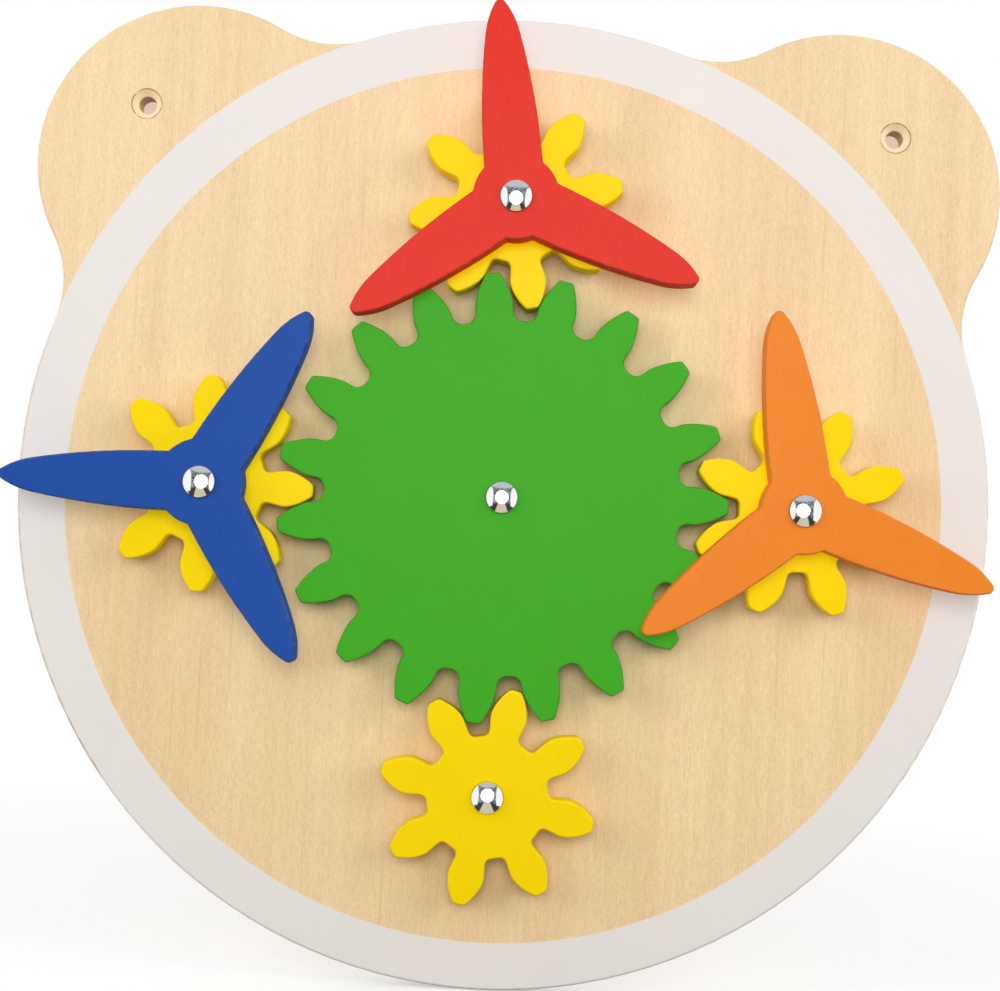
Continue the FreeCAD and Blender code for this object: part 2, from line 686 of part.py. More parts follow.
def make_nut(axle):
    """Hexagon nut in the recess in the board's back, its corners bevelled at both ends."""
    body = new_body(f"axle_nut_{axle}", *axle_position(axle), nut_back)
    sketch = new_sketch(body, "Hexagon")
    corner_radius = size["nut_width"] / math.sqrt(3)
    corners = [polar_point(FreeCAD.Vector(), corner_radius.value, math.tau * k / 6) for k in range(6)]
    sides = [sketch.addGeometry(Part.LineSegment(start, end))
             for start, end in zip(corners, corners[1:] + corners[:1])]
    guide = sketch.addGeometry(Part.Circle(FreeCAD.Vector(), FRONT, corner_radius.value), True)
    pin_point(sketch, guide, 3, ZERO, ZERO)
    constrain(sketch, "Radius", (guide,), corner_radius)
    for side, following in zip(sides, sides[1:] + sides[:1]):
        sketch.addConstraint(Sketcher.Constraint("Coincident", side, 2, following, 1))
        sketch.addConstraint(Sketcher.Constraint("PointOnObject", side, 1, guide))
    for side in sides[1:]:
        sketch.addConstraint(Sketcher.Constraint("Equal", sides[0], side))
    sketch.addConstraint(Sketcher.Constraint("PointOnObject", sides[0], 1, -1))
    add_circle(sketch, bolt_hole_radius)
    solid = add_pad(body, sketch, "Thickness", size["nut_height"])

    bevel_radius = corner_radius - size["nut_chamfer"]
    near, far = size["nut_chamfer_drop"], size["nut_height"] - size["nut_chamfer_drop"]
    for name, end, inner in (("BackBevel", ZERO, near), ("FrontBevel", size["nut_height"], far)):
        profile = new_sketch(body, f"{name}Profile", plane="XZ_Plane")
        add_loop(profile, [(bevel_radius, end), (corner_radius, end), (corner_radius, inner)])
        groove = body.newObject("PartDesign::Groove", name)
        groove.Profile = profile
        groove.ReferenceAxis = (profile, ["V_Axis"])
        groove.Angle = FULL_TURN
        document.recompute()
        if not groove.Shape.Volume < solid.Shape.Volume:
            raise RuntimeError("a nut's bevel cuts nothing")
        solid = groove
    return body


def make_pieces():
    pieces = [make_backboard(), make_main_gear()]
    pieces += [make_small_gear(axle) for axle in AXLES if axle != "centre"]
    for axle in PROPELLERS:
        pieces += [make_spacer(axle), make_propeller(axle)]
    for axle in AXLES:
        pieces += [make_board_washer(axle), make_bush(axle), make_bolt(axle)]
        pieces += [make_rear_washer(axle), make_nut(axle)]
    return pieces


def check(pieces):
    """Stop if any object failed or any piece isn't a sound solid."""
    for item in document.Objects:
        if {"Invalid", "Error"} & set(item.State):
            raise RuntimeError(f"{item.Label} failed: {item.State}")
    for piece in pieces:
        shape = piece.Shape
        if shape.isNull() or not shape.isValid() or not shape.Solids:
            raise RuntimeError(f"{piece.Label} has no valid solid")


def main():
    pieces = make_pieces()
    document.recompute()
    check(pieces)
    os.makedirs("parts", exist_ok=True)
    for piece in pieces:
        piece.Shape.exportStep(f"parts/{piece.Label}.step")
        box = piece.Shape.BoundBox
        print(f"{piece.Label:26} {box.XLength:8.2f} {box.YLength:7.2f} {box.ZLength:8.2f}"
              f"  y {box.YMin:7.2f} .. {box.YMax:6.2f}  volume {piece.Shape.Volume:10.1f}")


main()
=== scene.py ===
import math

import bpy
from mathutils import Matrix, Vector


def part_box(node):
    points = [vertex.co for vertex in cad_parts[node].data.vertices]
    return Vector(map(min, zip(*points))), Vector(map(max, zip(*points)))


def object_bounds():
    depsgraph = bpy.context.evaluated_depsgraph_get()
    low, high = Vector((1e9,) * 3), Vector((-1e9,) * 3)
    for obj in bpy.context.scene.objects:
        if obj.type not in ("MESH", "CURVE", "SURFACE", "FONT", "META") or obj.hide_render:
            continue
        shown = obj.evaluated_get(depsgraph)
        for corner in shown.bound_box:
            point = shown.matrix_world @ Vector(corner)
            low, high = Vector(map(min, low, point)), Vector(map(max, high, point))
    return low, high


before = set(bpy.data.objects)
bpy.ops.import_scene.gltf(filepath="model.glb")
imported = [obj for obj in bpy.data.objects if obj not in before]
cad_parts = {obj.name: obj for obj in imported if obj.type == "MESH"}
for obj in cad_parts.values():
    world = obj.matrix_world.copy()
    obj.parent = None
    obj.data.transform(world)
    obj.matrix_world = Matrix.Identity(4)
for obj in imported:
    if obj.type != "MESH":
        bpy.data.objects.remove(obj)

# Looks of a wooden gear board: bare plywood with a printed ring, painted gears and propellers,
# bright axle heads.  Lengths are in metres unless a name ends in _MM.  X is to the right, Z up,
# and the board's front faces -Y.  Y is 0 on the board's back.

CAD_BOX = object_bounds()
MM = 0.001

AXLES = ("centre", "top", "left", "right", "bottom")
PROPELLER_AXLES = ("top", "left", "right")
PAINTS = {
    "main_gear": "green_paint",
    "small_gear_top": "yellow_paint",
    "small_gear_left": "yellow_paint",
    "small_gear_right": "yellow_paint",
    "small_gear_bottom": "yellow_paint",
    "propeller_top": "red_paint",
    "propeller_left": "blue_paint",
    "propeller_right": "orange_paint",
}

# --- camera --------------------------------------------------------------------------------

CAMERA_PLACE = Vector((0.00468, -0.6238, -0.17369))
CAMERA_TURN = (92.511, -2.792, 0.392)      # degrees about X, Y and Z
CAMERA_SENSOR_MM = 36.0
CAMERA_LENS_MM = 57.175
CAMERA_NEAREST = 0.01
CAMERA_FARTHEST = 50.0


def make_camera():
    data = bpy.data.cameras.new("camera")
    data.sensor_fit = "HORIZONTAL"
    data.sensor_width = CAMERA_SENSOR_MM
    data.lens = CAMERA_LENS_MM
    data.clip_start = CAMERA_NEAREST
    data.clip_end = CAMERA_FARTHEST
    camera = bpy.data.objects.new("camera", data)
    camera.location = CAMERA_PLACE
    camera.rotation_euler = [math.radians(angle) for angle in CAMERA_TURN]
    bpy.context.scene.collection.objects.link(camera)
    bpy.context.scene.camera = camera


# --- node helpers --------------------------------------------------------------------------
# A mask is a value from 0, where it doesn't hold, to 1, where it does.


def add_node(tree, kind, sockets=None, **settings):
    """Add a node. sockets maps an input's name or number to a value or to another node's output."""
    node = tree.nodes.new(kind)
    for name, value in settings.items():
        setattr(node, name, value)
    for key, value in (sockets or {}).items():
        if isinstance(value, bpy.types.NodeSocket):
            tree.links.new(value, node.inputs[key])
        else:
            node.inputs[key].default_value = value
    return node


def maths(tree, operation, first, second=0.0, third=0.0):
    sockets = {0: first, 1: second, 2: third}
    return add_node(tree, "ShaderNodeMath", sockets, operation=operation).outputs[0]


def product(tree, first, second):
    return maths(tree, "MULTIPLY", first, second)


def total(tree, first, *others):
    for other in others:
        first = maths(tree, "ADD", first, other)
    return first


def absolute(tree, value):
    return maths(tree, "ABSOLUTE", value)


def opposite(tree, mask):
    return maths(tree, "SUBTRACT", 1.0, mask)


def both(tree, first, second):
    """The lower of two masks."""
    return maths(tree, "MINIMUM", first, second)


def step(tree, value, low, high, at_low=0.0, at_high=1.0):
    """A smooth step from at_low to at_high while value goes from low to high."""
    sockets = {"Value": value, "From Min": low, "From Max": high, "To Min": at_low, "To Max": at_high}
    return add_node(tree, "ShaderNodeMapRange", sockets, interpolation_type="SMOOTHSTEP").outputs[0]


def step_mm(tree, value, low_mm, high_mm, at_high=1.0):
    """step for a length in metres, with its bounds in millimetres."""
    return step(tree, value, low_mm * MM, high_mm * MM, at_high=at_high)


def blend(tree, factor, first, second, mode="MIX"):
    """Mix two colours, each a colour or another node's output."""
    sockets = {0: factor}
    for key, value in ((6, first), (7, second)):
        sockets[key] = value if isinstance(value, bpy.types.NodeSocket) else (*value, 1.0)
    return add_node(tree, "ShaderNodeMix", sockets, data_type="RGBA", blend_type=mode).outputs[2]


def vector_maths(tree, operation, sockets):
    return add_node(tree, "ShaderNodeVectorMath", sockets, operation=operation)


def tinted(tree, colour, amount, strength, shares=(1.0, 1.0, 1.0)):
    """Colour made lighter or darker: amount runs round 0.5, strength is the share it changes.

    shares makes red, green and blue change more or less than that.
    """
    swings = [2.0 * strength * share for share in shares]
    offset = maths(tree, "SUBTRACT", amount, 0.5)
    scaled = vector_maths(tree, "SCALE", {0: swings, "Scale": offset}).outputs[0]
    factor = vector_maths(tree, "ADD", {0: scaled, 1: (1.0, 1.0, 1.0)}).outputs[0]
    return vector_maths(tree, "MULTIPLY", {0: colour, 1: factor}).outputs[0]


def place(tree):
    """Position on the object, in metres, which turns with it."""
    return add_node(tree, "ShaderNodeTexCoord").outputs["Object"]


def parts_of(tree, vector):
    node = add_node(tree, "ShaderNodeSeparateXYZ", {0: vector})
    return node.outputs["X"], node.outputs["Y"], node.outputs["Z"]


def facing(tree):
    """Size of the surface normal's share along the board's thickness: 1 on faces, 0 on side walls."""
    _, y, _ = parts_of(tree, add_node(tree, "ShaderNodeTexCoord").outputs["Normal"])
    return absolute(tree, y)


def distance_across(tree, at, centre, mirrored=False):
    """Distance from centre as seen from the front, in metres. mirrored takes -X as +X."""
    x, _, z = parts_of(tree, at)
    if mirrored:
        x = absolute(tree, x)
    flat = add_node(tree, "ShaderNodeCombineXYZ", {0: x, 2: z}).outputs[0]
    return vector_maths(tree, "DISTANCE", {0: flat, 1: centre}).outputs["Value"]


def scaled_place(tree, vector, sizes_mm, shift):
    """Vector in units of sizes_mm along X, Y and Z, moved by shift units along each."""
    scale = [1.0 / (size * MM) for size in sizes_mm]
    sockets = {"Vector": vector, "Scale": scale, "Location": (shift, shift, shift)}
    return add_node(tree, "ShaderNodeMapping", sockets).outputs[0]


def noise(tree, vector, size_mm, detail=2.0, shift=0.0, distortion=0.0):
    """Cloudy noise whose blotches are size_mm wide: one number, or one for each of X, Y and Z."""
    if isinstance(size_mm, (int, float)):
        size_mm = (size_mm,) * 3
    sockets = {"Vector": scaled_place(tree, vector, size_mm, shift), "Scale": 1.0,
               "Detail": detail, "Roughness": 0.5, "Distortion": distortion}
    return add_node(tree, "ShaderNodeTexNoise", sockets).outputs["Fac"]


def dots(tree, vector, spacing_mm, radius_mm, shift=0.0):
    """A mask of small round dots scattered about spacing_mm apart."""
    sockets = {"Vector": scaled_place(tree, vector, (spacing_mm,) * 3, shift), "Scale": 1.0}
    cells = add_node(tree, "ShaderNodeTexVoronoi", sockets)
    edge = radius_mm / spacing_mm
    return step(tree, cells.outputs["Distance"], edge * 1.3, edge * 0.7)


def bumped(tree, height, depth_mm):
    """The surface normal bumped by height, which runs from 0 to 1 over depth_mm."""
    sockets = {"Height": height, "Strength": 1.0, "Distance": depth_mm * MM}
    return add_node(tree, "ShaderNodeBump", sockets).outputs["Normal"]


def new_tree(name):
    material = bpy.data.materials.new(name)
    material.use_nodes = True
    material.node_tree.nodes.clear()
    return material, material.node_tree


def finish(tree, shader, kind="ShaderNodeOutputMaterial"):
    add_node(tree, kind, {"Surface": shader.outputs[0]})


def finish_surface(tree, colour, roughness, normal, **fixed):
    """The shader. fixed holds what is the same all over, set on the shader's own sockets."""
    sockets = {"Base Color": colour, "Roughness": roughness, "Normal": normal}
    sockets.update({name.replace("_", " "): value for name, value in fixed.items()})
    finish(tree, add_node(tree, "ShaderNodeBsdfPrincipled", sockets))


# --- veneer --------------------------------------------------------------------------------

VENEER_LIGHT = (0.845, 0.640, 0.385)
VENEER_TAN = (0.800, 0.582, 0.342)
VENEER_PINK = (0.815, 0.560, 0.345)
VENEER_STREAK = (0.66, 0.43, 0.21)
GRAIN_SHARES = (0.85, 1.12, 1.5)           # dark grain is warmer than light grain

# The noises of the veneer: the size of a blotch in millimetres across, through and along the
# grain, its detail, its shift and its distortion.
VENEER_NOISES = {
    "bands": ((30.0, 60.0, 420.0), 3.0, 0.0, 0.25),
    "streaks": ((3.6, 20.0, 110.0), 3.0, 3.1, 0.0),
    "threads": ((0.40, 5.0, 7.0), 1.0, 7.7, 0.0),
    "fibres": ((0.34, 2.0, 1.9), 0.0, 11.3, 0.0),
    "rays": ((1.8, 2.0, 0.34), 0.0, 13.1, 0.0),
    "pink": ((14.0, 60.0, 150.0), 2.0, 15.9, 0.0),
    "pores": ((0.35, 2.0, 2.6), 1.0, 19.1, 0.0),
    "veins": ((1.5, 60.0, 95.0), 1.0, 23.7, 0.15),
}
VENEER_TINTS = {"streaks": 0.06, "threads": 0.085, "fibres": 0.095, "rays": 0.075}
VENEER_HEIGHTS = {"fibres": 0.5, "threads": 0.3, "streaks": 0.2, "pores": -0.3}
# Each dark mark's noise, the range over which it comes in, and its share of the streak colour.
VENEER_MARKS = (("pores", 0.70, 0.82, 0.16), ("veins", 0.68, 0.80, 0.32))


def veneer(tree, at, shift):
    """Colour and height of a straight-grained light veneer whose grain runs along Z."""
    grain = {name: noise(tree, at, size_mm, detail, shift + own_shift, distortion)
             for name, (size_mm, detail, own_shift, distortion) in VENEER_NOISES.items()}
    colour = blend(tree, step(tree, grain["bands"], 0.36, 0.72), VENEER_LIGHT, VENEER_TAN)
    colour = blend(tree, step(tree, grain["pink"], 0.55, 0.75, at_high=0.40), colour, VENEER_PINK)
    for name, strength in VENEER_TINTS.items():
        colour = tinted(tree, colour, grain[name], strength, GRAIN_SHARES)
    for name, low, high, share in VENEER_MARKS:
        colour = blend(tree, step(tree, grain[name], low, high, at_high=share), colour, VENEER_STREAK)
    height = total(tree, *(product(tree, grain[name], share) for name, share in VENEER_HEIGHTS.items()))
    return colour, height


# --- plywood -------------------------------------------------------------------------------

MAIN_AXLE = Vector((0.0, 0.0, -0.148))
BOARD_THICKNESS_MM = 10.0
LOW_START, LOW_END = 0.03, -0.30           # heights between which the veneer turns yellower
VENEER_LOW = (1.0, 0.985, 0.93)            # what its colour is multiplied by at the low end
VENEER_ROUGHNESS = 0.52
FACE_FROM = (0.20, 0.34)                   # facing, where an edge turns into a face
SPECK = (0.22, 0.15, 0.10)
VENEER_SPECKS_MM = (38.0, 0.30)            # spacing and radius

SCREW_HOLE = Vector((0.1465, 0.0, 0.0))
COUNTERSINK_RADIUS_MM = 5.9
CUT_SOFT_MM = 0.1
FRESH_CUT = (0.930, 0.755, 0.490)
MOUTH_LINE_INSIDE_MM = (0.36, 0.04)              # from the mouth, where the dark line starts and is full
MOUTH_LINE_OUTSIDE_MM = (0.38, 0.04)
# A thin dark line round each countersink's mouth.
MOUTH_LINE = (0.31, 0.20, 0.08)
DRILLED_RADII_MM = (5.0, 4.4)              # between these the drill's scorching comes in
SCORCHED = (0.52, 0.28, 0.08)

RING_OUTER_MM = 188.0
RING_INNER_MM = 169.4
RING_INNER_MIDDLE = MAIN_AXLE + Vector((0.0001, 0.0, -0.0006))
RING_COLOUR = (0.778, 0.748, 0.738)
RING_RAGGED_MM = 0.35
RING_SOFT_MM = 0.12
RING_DEPTHS_MM = (0.9, 0.6)                # behind the front, where the ink starts and is full
RING_ROUGHNESS = 0.40
RING_SPECKS_MM = (15.0, 0.16)              # spacing and radius
INK_SMOOTHING = 0.6                        # the share of the wood's relief that the ink fills

PLY_COUNT = 7
PLY_LIGHT = (0.80, 0.61, 0.37)
PLY_DARK = (0.47, 0.28, 0.13)
GLUE_LINE = (0.25, 0.13, 0.06)


def cut_countersinks(tree, at, hole, colour):
    """Colour with freshly cut countersinks on the front, each with a thin dark line round its mouth."""
    _, y, _ = parts_of(tree, at)
    front_half = maths(tree, "LESS_THAN", y, -BOARD_THICKNESS_MM / 2 * MM)
    mouth = COUNTERSINK_RADIUS_MM
    cut = product(tree, front_half, step_mm(tree, hole, mouth + CUT_SOFT_MM, mouth - CUT_SOFT_MM))
    cut_wood = tinted(tree, FRESH_CUT, noise(tree, at, 0.6, shift=33.0), 0.10)
    colour = blend(tree, product(tree, cut, 0.9), colour, cut_wood)
    mouth_line = product(tree, step_mm(tree, hole, *(mouth - width for width in MOUTH_LINE_INSIDE_MM)),
                   step_mm(tree, hole, *(mouth + width for width in MOUTH_LINE_OUTSIDE_MM)))
    patchy = step(tree, noise(tree, at, 2.4, detail=3.0, shift=35.0), 0.26, 0.52)
    return blend(tree, product(tree, product(tree, mouth_line, patchy), front_half), colour, MOUTH_LINE)


def print_ring(tree, at, face, colour):
    """The printed ring's mask, and colour with the ring on it. It is on the front only."""
    _, y, _ = parts_of(tree, at)
    ragged = maths(tree, "SUBTRACT", noise(tree, at, (0.7, 4.0, 2.4)), 0.5)
    ragged = product(tree, ragged, RING_RAGGED_MM * MM)
    inner = total(tree, distance_across(tree, at, RING_INNER_MIDDLE), ragged)
    outer = total(tree, distance_across(tree, at, MAIN_AXLE), ragged)
    inside = step_mm(tree, inner, RING_INNER_MM - RING_SOFT_MM, RING_INNER_MM + RING_SOFT_MM)
    outside = step_mm(tree, outer, RING_OUTER_MM + RING_SOFT_MM, RING_OUTER_MM - RING_SOFT_MM)
    on_front = step_mm(tree, y, *(depth - BOARD_THICKNESS_MM for depth in RING_DEPTHS_MM))
    ring = product(tree, product(tree, inside, outside), product(tree, on_front, face))
    ink = tinted(tree, blend(tree, 0.04, RING_COLOUR, colour), noise(tree, at, 40.0), 0.02)
    ink = tinted(tree, ink, noise(tree, at, (0.5, 4.0, 4.0), shift=5.0), 0.014)
    ink = blend(tree, product(tree, dots(tree, at, *RING_SPECKS_MM, shift=6.1), 0.4), ink, SPECK)
    return ring, blend(tree, product(tree, ring, 0.97), colour, ink)


def stack_plies(tree, at, hole, across):
    """Colour of the edges and the holes' walls. across is the grain of the plies cut across."""
    _, y, _ = parts_of(tree, at)
    depth = product(tree, y, -PLY_COUNT / (BOARD_THICKNESS_MM * MM))
    depth = total(tree, depth, product(tree, noise(tree, at, 30.0, shift=9.0), 0.16))
    odd = maths(tree, "GREATER_THAN", maths(tree, "MODULO", absolute(tree, depth), 2.0), 1.0)
    along = noise(tree, at, (7.0, 0.35, 7.0), detail=3.0, shift=21.0)
    colour = blend(tree, odd, tinted(tree, PLY_LIGHT, along, 0.12), tinted(tree, PLY_DARK, across, 0.38))
    # glue lines between the plies, but none on the two faces
    to_line = absolute(tree, maths(tree, "SUBTRACT", maths(tree, "FRACT", depth), 0.5))
    from_middle = absolute(tree, maths(tree, "SUBTRACT", depth, PLY_COUNT / 2))
    buried = step(tree, from_middle, PLY_COUNT / 2 - 0.3, PLY_COUNT / 2 - 0.4)
    glue = product(tree, buried, step(tree, to_line, 0.455, 0.485, at_high=0.6))
    colour = blend(tree, glue, colour, GLUE_LINE)
    return blend(tree, step_mm(tree, hole, *DRILLED_RADII_MM, at_high=0.75), colour, SCORCHED)


def make_plywood():
    """Bare veneer faces, a printed pale ring on the front and stacked plies on the edges."""
    material, tree = new_tree("plywood")
    at = place(tree)
    _, _, z = parts_of(tree, at)
    face = step(tree, facing(tree), *FACE_FROM)
    hole = distance_across(tree, at, SCREW_HOLE, mirrored=True)
    across = noise(tree, at, 0.42, detail=3.0, shift=27.0)

    wood, height = veneer(tree, at, shift=0.0)
    yellower = blend(tree, 1.0, wood, VENEER_LOW, mode="MULTIPLY")
    wood = blend(tree, step(tree, z, LOW_START, LOW_END), wood, yellower)
    wood = blend(tree, product(tree, dots(tree, at, *VENEER_SPECKS_MM), 0.7), wood, SPECK)
    wood = cut_countersinks(tree, at, hole, wood)
    ring, face_colour = print_ring(tree, at, face, wood)
    colour = blend(tree, face, stack_plies(tree, at, hole, across), face_colour)

    roughness = step(tree, ring, 0.0, 1.0, at_low=VENEER_ROUGHNESS, at_high=RING_ROUGHNESS)
    roughness = total(tree, roughness, product(tree, noise(tree, at, (1.0, 4.0, 9.0), shift=2.0), 0.10))
    relief = total(tree, product(tree, height, maths(tree, "MULTIPLY_ADD", ring, -INK_SMOOTHING, 1.0)),
                   product(tree, across, opposite(tree, face)))
    finish_surface(tree, colour, roughness, bumped(tree, relief, 0.035), Specular_IOR_Level=0.32)
    return material


def make_plain_wood():
    material, tree = new_tree("plain_wood")
    at = place(tree)
    colour, height = veneer(tree, at, shift=50.0)
    roughness = step(tree, height, 0.2, 0.8, at_low=0.5, at_high=0.65)
    finish_surface(tree, colour, roughness, bumped(tree, height, 0.05), Specular_IOR_Level=0.3)
    return material


# --- paint ---------------------------------------------------------------------------------

PAINT_COLOURS = {
    "green_paint": (0.050, 0.382, 0.0155),
    "yellow_paint": (0.915, 0.660, 0.0),
    "red_paint": (0.720, 0.034, 0.021),
    "blue_paint": (0.0155, 0.073, 0.345),
    "orange_paint": (0.815, 0.228, 0.024),
}
# Painted shade on the rounded edges: how far each paint's arris turns towards its shaded colour.
EDGE_SHADE = {"yellow_paint": 0.12, "orange_paint": 0.25, "blue_paint": 0.75, "red_paint": 0.40}
USUAL_EDGE_SHADE = 0.52
SHADED_SHARE = 0.30                        # painted shade: the darkest shaded colour's share of the paint's colour
WORN_WOOD = (0.66, 0.46, 0.27)
DUST = (0.86, 0.85, 0.82)
HEAD_RADIUS_MM = 6.0
HEAD_SHADOW_MM = (0.5, 0.1)                 # outside a head, where the painted shadow round it starts and is full
PAINT_ROUGHNESS = 0.20
SIDE_ROUGHNESS = 0.40                      # added on the side walls
# The values of facing where each part of a rounded edge starts and is full, from the side wall
# and from the face.
CORNER_FROM = ((0.18, 0.45), (0.985, 0.88))
ARRIS_FROM = ((0.30, 0.62), (0.96, 0.80))
SIDE_FROM = (0.5, 0.2)


def from_nearest_axle(tree, at):
    """Distance from the nearest axle's centre line, in metres."""
    nearest = None
    for axle in AXLES:
        low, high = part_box(f"axle_bolt_{axle}")
        distance = distance_across(tree, at, Vector(((low.x + high.x) / 2, 0.0, (low.z + high.z) / 2)))
        nearest = distance if nearest is None else maths(tree, "MINIMUM", nearest, distance)
    return nearest


def make_paint(name, base):
    """Satin paint on wood: faint grain, painted shade round the edges, a painted shadow round
    the axle heads, and a few chips and dust specks."""
    material, tree = new_tree(name)
    at = place(tree)
    face = facing(tree)
    corner, arris = (product(tree, step(tree, face, *from_side), step(tree, face, *from_face))
                     for from_side, from_face in (CORNER_FROM, ARRIS_FROM))
    side = step(tree, face, *SIDE_FROM)
    # a painted shadow round each axle head's rim
    head_shadow = step_mm(tree, from_nearest_axle(tree, at), *(HEAD_RADIUS_MM + gap for gap in HEAD_SHADOW_MM))

    mottle = noise(tree, at, 19.0, detail=3.0)
    grain = noise(tree, at, (0.7, 5.0, 9.0), detail=3.0, shift=4.0)
    peel = noise(tree, at, 0.9, shift=8.0)
    fuzz = noise(tree, at, (0.35, 0.9, 0.35), detail=3.0, shift=14.0)
    thin = product(tree, corner, step(tree, noise(tree, at, 2.6, detail=3.0, shift=30.0), 0.40, 0.70))
    chip = product(tree, corner, step(tree, noise(tree, at, 1.5, shift=41.0), 0.755, 0.785))
    speck = product(tree, dots(tree, at, 9.0, 0.10, shift=3.3), step(tree, mottle, 0.45, 0.6))

    shaded = [channel * SHADED_SHARE for channel in base]
    colour = tinted(tree, base, mottle, 0.035)
    colour = tinted(tree, colour, grain, 0.03)
    # Painted shade on the arris and a painted shadow round the axle heads, then worn corners, chips and
    # dust.
    for mask, share, other in ((arris, EDGE_SHADE.get(name, USUAL_EDGE_SHADE), shaded),
                               (thin, 0.16, WORN_WOOD), (chip, 0.8, WORN_WOOD),
                               (speck, 0.35, DUST), (head_shadow, 0.5, shaded)):
        colour = blend(tree, product(tree, mask, share), colour, other)

    roughness = total(tree, product(tree, peel, 0.10), product(tree, grain, 0.08),
                      product(tree, side, SIDE_ROUGHNESS), product(tree, chip, 0.2), PAINT_ROUGHNESS)
    relief = total(tree, product(tree, peel, 0.45), product(tree, grain, 0.35),
                   product(tree, product(tree, fuzz, side), 1.1), product(tree, chip, -1.5))
    finish_surface(tree, colour, roughness, bumped(tree, relief, 0.03), Specular_IOR_Level=0.16)
    return material


# --- metal and nylon -----------------------------------------------------------------------

BRIGHT_METAL = (0.93, 0.93, 0.94)
PIT_GREY = (0.30, 0.29, 0.28)
SHANK_GREY = (0.36, 0.36, 0.37)
SHANK_START_MM = (9.5, 8.5)                # in front of the board's back, where the shank's grey comes in
ZINC_BLUE = (0.62, 0.64, 0.67)
ZINC_GREY = (0.50, 0.50, 0.50)
NYLON_WHITE = (0.80, 0.78, 0.72)
NYLON_SCATTER = (0.002, 0.0016, 0.0012)


def make_bright_plating():
    """Polished plating with a slight haze, and duller on the shank inside the board."""
    material, tree = new_tree("bright_plating")
    at = place(tree)
    _, y, _ = parts_of(tree, at)
    shank = step_mm(tree, y, *(-start for start in SHANK_START_MM))
    haze = noise(tree, at, 3.0, detail=3.0)
    fine = noise(tree, at, 0.35, shift=6.0)
    pits = dots(tree, at, 1.4, 0.05, shift=1.7)
    colour = tinted(tree, BRIGHT_METAL, haze, 0.03)
    colour = blend(tree, product(tree, pits, 0.5), colour, PIT_GREY)
    colour = blend(tree, shank, colour, tinted(tree, SHANK_GREY, haze, 0.15))
    roughness = total(tree, product(tree, haze, 0.05), product(tree, pits, 0.3),
                      product(tree, shank, 0.35), 0.03)
    finish_surface(tree, colour, roughness, bumped(tree, fine, 0.003), Metallic=1.0)
    return material


def make_zinc_plating():
    """Dull bluish zinc with brushed marks."""
    material, tree = new_tree("zinc_plating")
    at = place(tree)
    cloud = noise(tree, at, 2.2, detail=4.0)
    brush = noise(tree, at, (0.12, 1.5, 2.6), shift=5.0)
    colour = blend(tree, step(tree, cloud, 0.35, 0.7), ZINC_BLUE, ZINC_GREY)
    colour = tinted(tree, colour, brush, 0.12)
    roughness = total(tree, product(tree, cloud, 0.18), product(tree, brush, 0.12), 0.24)
    finish_surface(tree, colour, roughness, bumped(tree, brush, 0.006), Metallic=1.0)
    return material


def make_nylon():
    """Milky nylon, slightly see-through at the surface."""
    material, tree = new_tree("nylon")
    at = place(tree)
    cloud = noise(tree, at, 2.5)
    fine = noise(tree, at, 0.5, detail=3.0, shift=3.0)
    colour = tinted(tree, NYLON_WHITE, cloud, 0.05)
    roughness = total(tree, product(tree, fine, 0.15), 0.33)
    finish_surface(tree, colour, roughness, bumped(tree, fine, 0.01), Subsurface_Weight=0.25,
                   Subsurface_Radius=NYLON_SCATTER, Subsurface_Scale=1.0)
    return material


# --- finishes on the CAD nodes -------------------------------------------------------------


def dress(node, material):
    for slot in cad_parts[node].material_slots:
        slot.material = material


def dress_nodes():
    dress("backboard", make_plywood())
    paints = {name: make_paint(name, base) for name, base in PAINT_COLOURS.items()}
    for node, paint in PAINTS.items():
        dress(node, paints[paint])
    plain_wood = make_plain_wood()
    for axle in PROPELLER_AXLES:
        dress(f"propeller_spacer_{axle}", plain_wood)
    bright, zinc, nylon = make_bright_plating(), make_zinc_plating(), make_nylon()
    for axle in AXLES:
        dress(f"axle_bolt_{axle}", bright)
        dress(f"axle_bush_{axle}", nylon)
        dress(f"board_washer_{axle}", nylon)
        dress(f"rear_washer_{axle}", zinc)
        dress(f"axle_nut_{axle}", zinc)


# --- world ---------------------------------------------------------------------------------

WORLD_LIGHT = 0.28
PANEL_WHITE = (1.0, 1.0, 1.0)
CEILING_GREY = (0.55, 0.56, 0.59)
DARK_ROOM = (0.035, 0.04, 0.045)
LIGHT_ROOM = (0.36, 0.38, 0.40)
DARK_CORNER = (0.05, 0.05, 0.045)
TABLE_TAN = (0.64, 0.58, 0.43)

# Where the mirrored studio's parts begin, in parts of a direction of length 1: a part isn't seen
# at the first number and is seen fully at the second.
CEILING_UP = (0.66, 0.78)
CORNER_UP = (-0.36, -0.52)
CORNER_ASIDE = (0.20, 0.28)
TABLE_UP = (-0.40, -0.48)
TABLE_ASIDE = (0.14, 0.09)
TABLE_TAPER = 0.35
SIDE_PANEL_ASIDE = (0.64, 0.71)
SIDE_PANEL_TOP = (0.70, 0.64)
SIDE_PANEL_FOOT = (-0.62, -0.56)
BACK_PANEL_BEHIND = (-0.18, -0.10)
BACK_PANEL_LEVEL = (0.72, 0.64)


